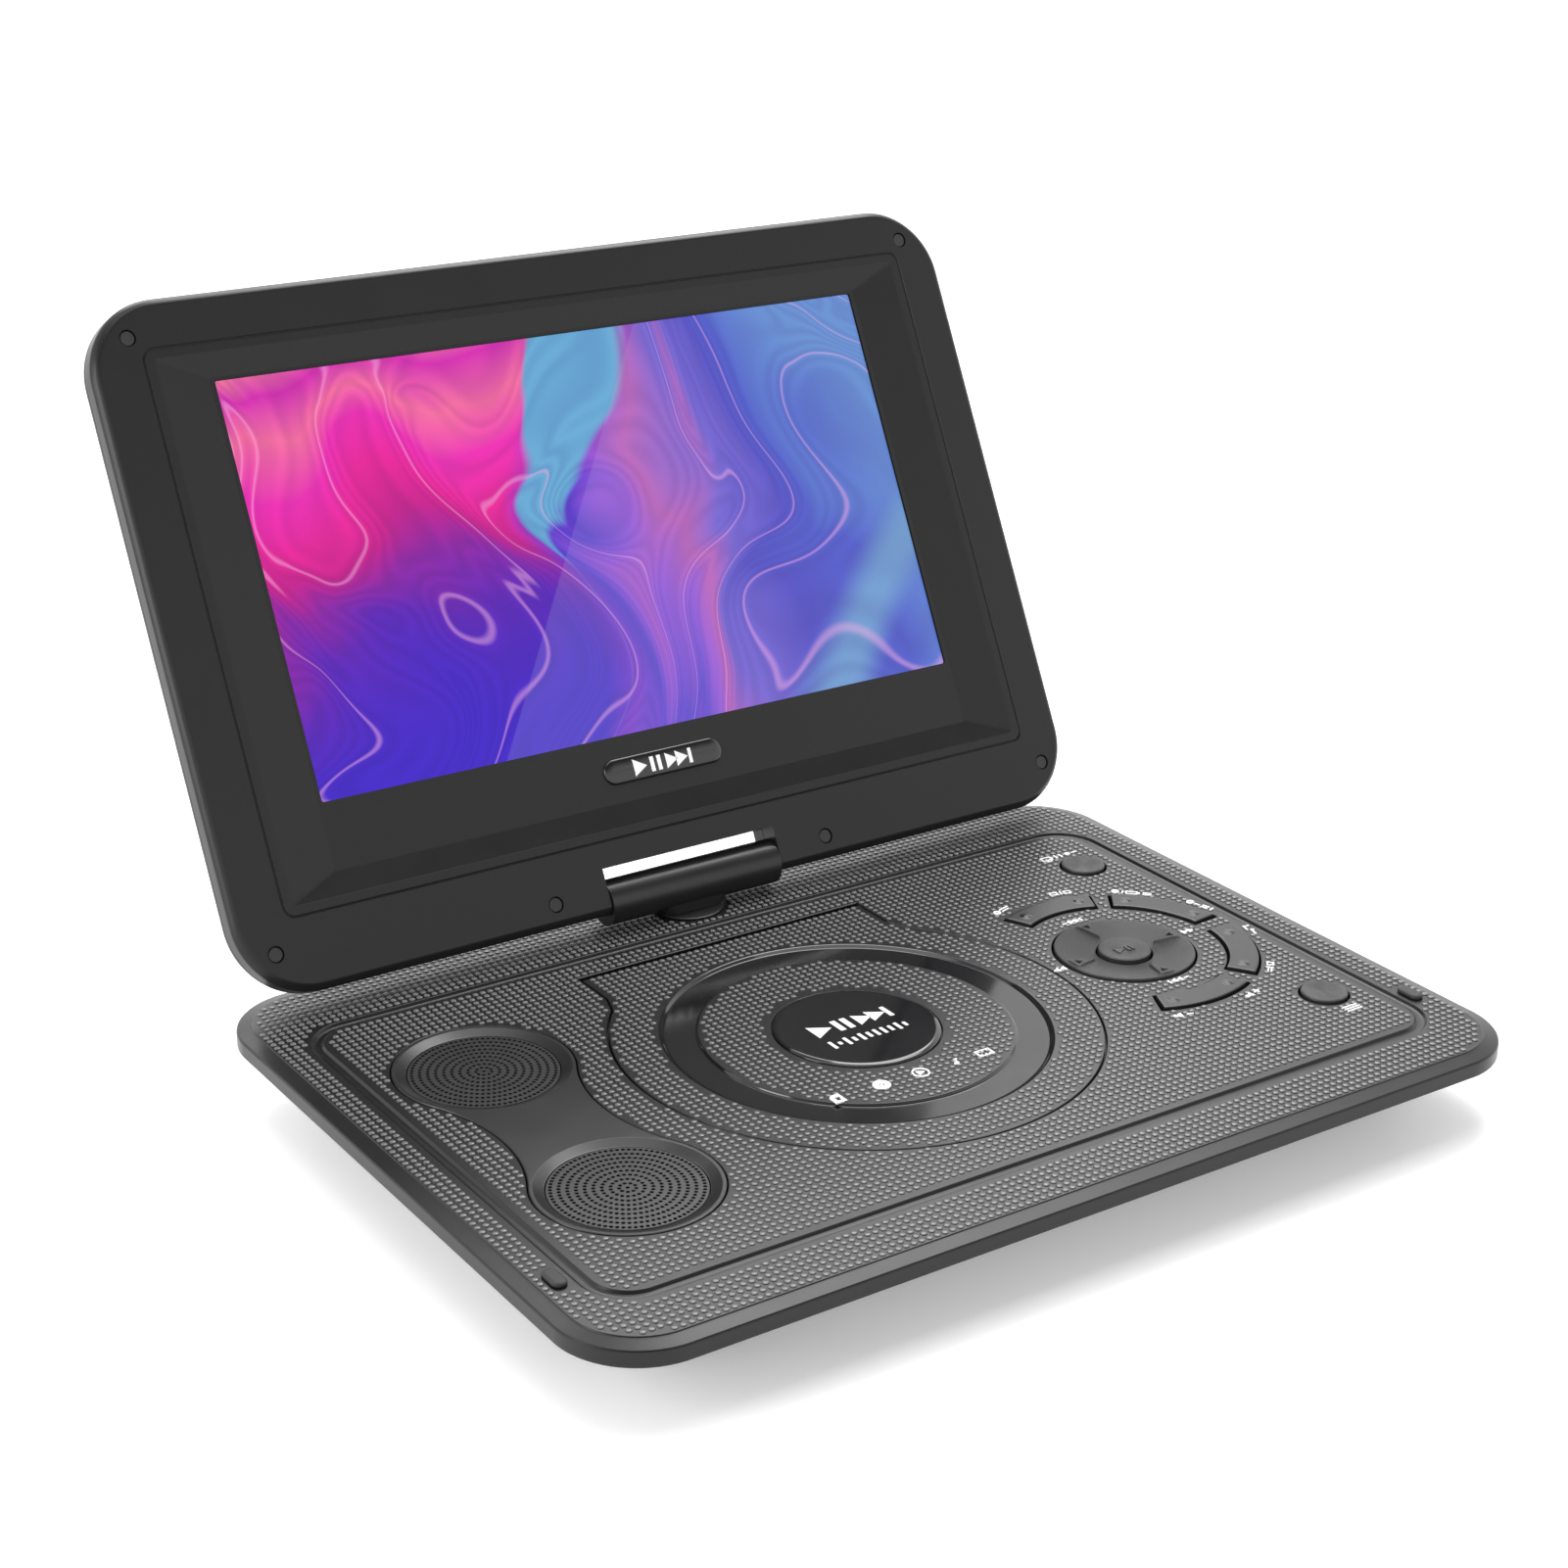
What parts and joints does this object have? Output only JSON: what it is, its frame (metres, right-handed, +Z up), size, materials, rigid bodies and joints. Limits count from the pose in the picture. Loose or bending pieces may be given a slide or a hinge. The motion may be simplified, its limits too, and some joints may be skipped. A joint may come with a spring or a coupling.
{
  "type": "portable disc player",
  "caption": "Clamshell portable disc player with a swivelling, tilting screen lid, a round top-loading disc door, speakers and keys.",
  "frame": {"origin": "bottom centre of the open player's bounding box, on the surface it stands on", "axes": "+Z up, +X to the right of someone facing the deck, -Y towards them"},
  "size_m": [0.3196, 0.315, 0.2197],
  "materials": {
    "shell": "satin charcoal moulding with a fine raised dot texture on the deck",
    "gloss": "piano black",
    "trim": "smooth satin",
    "key": "satin, spun look",
    "mould": "black moulding",
    "cone": "dull",
    "steel": "plated",
    "chrome": "polished",
    "rubber": "soft",
    "board": "solder mask",
    "cell": "shrink wrap",
    "screen": "lit display",
    "lens": "coated lens"
  },
  "bodies": {
    "base": {"base_top_cover": "shell", "base_bottom_cover": "shell", "speaker_trim": "trim", "speaker_grille_front": "mould", "speaker_grille_rear": "mould", "speaker_driver_front": "cone", "speaker_driver_rear": "cone", "main_board": "board", "key_board": "board", "battery_pack": "cell", "disc_tray": "mould", "drive_chassis": "steel", "spindle_motor": "steel", "guide_rod_left": "steel", "guide_rod_right": "steel", "feed_motor": "steel", "door_pin": "steel", "av_jack": "mould", "headphone_jack": "mould", "power_jack": "mould", "usb_port": "steel", "card_slot": "steel", "foot_front_left": "rubber", "foot_front_right": "rubber", "foot_rear_left": "rubber", "foot_rear_right": "rubber", "deck_pad_left": "rubber", "deck_pad_right": "rubber"},
    "door": {"disc_door": "shell", "door_emblem": "gloss"},
    "latch": {"door_latch": "mould"},
    "disc_hub": {"turntable_hub": "mould"},
    "sled": {"laser_sled": "mould", "objective_lens": "lens"},
    "screw": {"feed_screw": "steel"},
    "menu_key": {"menu_button": "key"},
    "screen_key": {"screen_button": "key"},
    "ok_key": {"ok_button": "key"},
    "gimbal": {"pad_gimbal": "mould"},
    "pad": {"direction_pad": "key"},
    "arc_rear": {"arc_key_rear": "key"},
    "arc_upper": {"arc_key_upper": "key"},
    "arc_lower": {"arc_key_lower": "key"},
    "arc_front": {"arc_key_front": "key"},
    "power_slider": {"power_knob": "key"},
    "swivel": {"swivel_turntable": "mould", "swivel_retainer": "steel", "hinge_barrel": "mould", "hinge_pin": "steel"},
    "lid": {"lid_bezel": "shell", "lid_back_cover": "shell", "screen_panel": "screen", "lid_badge": "gloss", "hinge_leaf": "chrome", "screw_cap_upper_left": "rubber", "screw_cap_upper_right": "rubber", "screw_cap_lower_left": "rubber", "screw_cap_lower_right": "rubber", "screw_cap_middle_left": "rubber", "screw_cap_middle_right": "rubber"}
  },
  "joints": [
    {"name": "lid_swivel", "type": "hinge", "parent": "base", "child": "swivel", "pos_m": [0, 0.0569, 0.0334], "axis": [0, 0, 1], "range_deg": [-90, 180]},
    {"name": "lid_tilt", "type": "hinge", "parent": "swivel", "child": "lid", "pos_m": [0, 0.0569, 0.0334], "axis": [1, 0, 0], "range_deg": [-62.2, 117.8]},
    {"name": "door_hinge", "type": "hinge", "parent": "base", "child": "door", "pos_m": [-0.005, 0.0248, 0.0224], "axis": [-1, 0, 0], "range_deg": [0, 60]},
    {"name": "latch_slide", "type": "slide", "parent": "base", "child": "latch", "axis": [0, -1, 0], "range_m": [0, 0.0018], "stiffness_N_per_m": 150},
    {"name": "hub_spin", "type": "hinge", "parent": "base", "child": "disc_hub", "pos_m": [-0.005, -0.0438, 0.0155], "axis": [0, 0, 1], "continuous": true},
    {"name": "sled_feed", "type": "slide", "parent": "base", "child": "sled", "axis": [0, -1, 0], "range_m": [0, 0.02]},
    {"name": "screw_turn", "type": "hinge", "parent": "base", "child": "screw", "pos_m": [0.019, -0.0838, 0.0095], "axis": [0, 1, 0], "range_deg": [0, 900]},
    {"name": "menu_press", "type": "slide", "parent": "base", "child": "menu_key", "axis": [0, 0, -1], "range_m": [0, 0.0008], "stiffness_N_per_m": 400},
    {"name": "screen_press", "type": "slide", "parent": "base", "child": "screen_key", "axis": [0, 0, -1], "range_m": [0, 0.0008], "stiffness_N_per_m": 400},
    {"name": "ok_press", "type": "slide", "parent": "base", "child": "ok_key", "axis": [0, 0, -1], "range_m": [0, 0.0006], "stiffness_N_per_m": 400},
    {"name": "pad_pitch", "type": "hinge", "parent": "base", "child": "gimbal", "pos_m": [0.0967, -0.0455, 0.0205], "axis": [1, 0, 0], "range_deg": [-1.5, 1.5], "stiffness_Nm_per_rad": 0.2},
    {"name": "pad_roll", "type": "hinge", "parent": "gimbal", "child": "pad", "pos_m": [0.0967, -0.0455, 0.0205], "axis": [0, 1, 0], "range_deg": [-1.5, 1.5], "stiffness_Nm_per_rad": 0.2},
    {"name": "arc_rear_rock", "type": "hinge", "parent": "base", "child": "arc_rear", "pos_m": [0.0967, -0.0083, 0.0205], "axis": [0, 1, 0], "range_deg": [-1.8, 1.8], "stiffness_Nm_per_rad": 0.1},
    {"name": "arc_upper_rock", "type": "hinge", "parent": "base", "child": "arc_upper", "pos_m": [0.1286, -0.0264, 0.0205], "axis": [0.8572, 0.515, 0], "range_deg": [-1.8, 1.8], "stiffness_Nm_per_rad": 0.1},
    {"name": "arc_lower_rock", "type": "hinge", "parent": "base", "child": "arc_lower", "pos_m": [0.1286, -0.0646, 0.0205], "axis": [0.8572, -0.515, 0], "range_deg": [-1.8, 1.8], "stiffness_Nm_per_rad": 0.1},
    {"name": "arc_front_rock", "type": "hinge", "parent": "base", "child": "arc_front", "pos_m": [0.0967, -0.0827, 0.0205], "axis": [0, 1, 0], "range_deg": [-1.8, 1.8], "stiffness_Nm_per_rad": 0.1},
    {"name": "power_slide", "type": "slide", "parent": "base", "child": "power_slider", "axis": [0, 1, 0], "range_m": [0, 0.007]}
  ],
  "couplings": [
    {"joint": "screw_turn", "follows": "sled_feed", "rad_per_m": 785.4}
  ]
}
